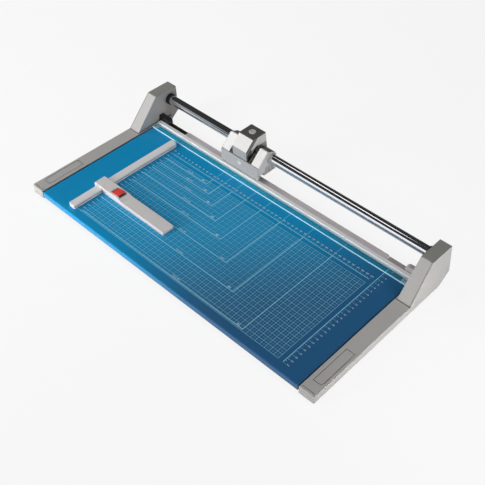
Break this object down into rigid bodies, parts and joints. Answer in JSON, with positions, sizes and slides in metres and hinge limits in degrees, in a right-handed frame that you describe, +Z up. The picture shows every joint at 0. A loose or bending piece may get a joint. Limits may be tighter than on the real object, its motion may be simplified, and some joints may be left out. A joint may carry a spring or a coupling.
{
  "type": "rotary paper trimmer",
  "caption": "Rotary paper trimmer: blue steel table between moulded ends, round bar carrying a sliding head with a captive circular blade, sprung clear clamp, side stop and sliding gauge.",
  "frame": {"origin": "on the surface the machine stands on, under the middle of its overall box", "axes": "+X to the right along the cut, +Y from the front edge to the cutting side, +Z up"},
  "size_m": [0.702, 0.356, 0.099],
  "materials": {
    "table_enamel": "satin enamel with a printed pattern of scales and paper sizes",
    "galvanised_steel": "zinc coated sheet",
    "knife_steel": "ground",
    "screw_steel": "bright zinc",
    "black_plastic": "matt",
    "housing_plastic": "fine grained warm grey",
    "chrome_bar": "polished",
    "cast_bracket": "die cast",
    "foot_rubber": "matt",
    "clear_plastic": "transparent",
    "bright_aluminium": "bright anodised",
    "bearing_bronze": "sintered",
    "head_plastic": "fine grained warm grey",
    "dark_plastic": "satin",
    "guard_plastic": "satin",
    "gauge_plastic": "satin",
    "red_plastic": "satin"
  },
  "bodies": {
    "base": {"table_plate": "table_enamel", "table_stiffeners": "galvanised_steel", "rear_beam": "galvanised_steel", "counter_knife": "knife_steel", "knife_screws": "screw_steel", "left_knife_end_piece": "black_plastic", "right_knife_end_piece": "black_plastic", "left_buffer": "black_plastic", "right_buffer": "black_plastic", "left_end_cap": "housing_plastic", "right_end_cap": "housing_plastic", "left_inset_panel": "housing_plastic", "right_inset_panel": "housing_plastic", "left_tower": "housing_plastic", "right_tower": "housing_plastic", "guide_bar": "chrome_bar", "left_bar_collar": "black_plastic", "right_bar_collar": "black_plastic", "left_bar_bracket": "cast_bracket", "right_bar_bracket": "cast_bracket", "bar_set_screws": "screw_steel", "frame_screws": "screw_steel", "cap_screws": "screw_steel", "left_front_foot": "foot_rubber", "right_front_foot": "foot_rubber", "left_rear_foot": "foot_rubber", "right_rear_foot": "foot_rubber", "left_clamp_spring": "screw_steel", "right_clamp_spring": "screw_steel", "side_stop": "gauge_plastic", "stop_screws": "screw_steel"},
    "clamp": {"clear_strip": "clear_plastic", "clamp_rail": "bright_aluminium", "left_clamp_end": "housing_plastic", "right_clamp_end": "housing_plastic"},
    "head": {"carriage": "black_plastic", "left_sleeve": "head_plastic", "right_sleeve": "head_plastic", "left_bushing": "bearing_bronze", "right_bushing": "bearing_bronze", "grip": "head_plastic", "grip_cap_plate": "dark_plastic", "grip_screw": "screw_steel", "blade_guard": "guard_plastic", "blade_axle": "screw_steel", "axle_clip": "screw_steel", "glide_shoes": "black_plastic"},
    "blade": {"circular_blade": "knife_steel", "blade_hub": "screw_steel"},
    "gauge": {"gauge_arm": "gauge_plastic", "lever_pin": "screw_steel", "brake_shoe": "black_plastic"},
    "lever": {"gauge_lever": "red_plastic"}
  },
  "joints": [
    {"name": "clamp_press", "type": "slide", "parent": "base", "child": "clamp", "axis": [0, 0, -1], "range_m": [0, 0.0015], "stiffness_N_per_m": 800, "springref_m": -0.003, "deforming": ["left_clamp_spring", "right_clamp_spring"]},
    {"name": "head_slide", "type": "slide", "parent": "base", "child": "head", "axis": [1, 0, 0], "range_m": [-0.1712, 0.3512]},
    {"name": "blade_spin", "type": "hinge", "parent": "head", "child": "blade", "pos_m": [-0.09, 0.14, 0.0445], "axis": [0, 1, 0], "range_deg": [-400, 800]},
    {"name": "gauge_slide", "type": "slide", "parent": "base", "child": "gauge", "axis": [0, 1, 0], "range_m": [-0.06, 0.16]},
    {"name": "lever_lift", "type": "hinge", "parent": "gauge", "child": "lever", "pos_m": [-0.21, -0.08725, 0.0266], "axis": [0, -1, 0], "range_deg": [0, 75]}
  ],
  "couplings": [
    {"joint": "blade_spin", "follows": "head_slide", "rad_per_m": 39.216}
  ]
}
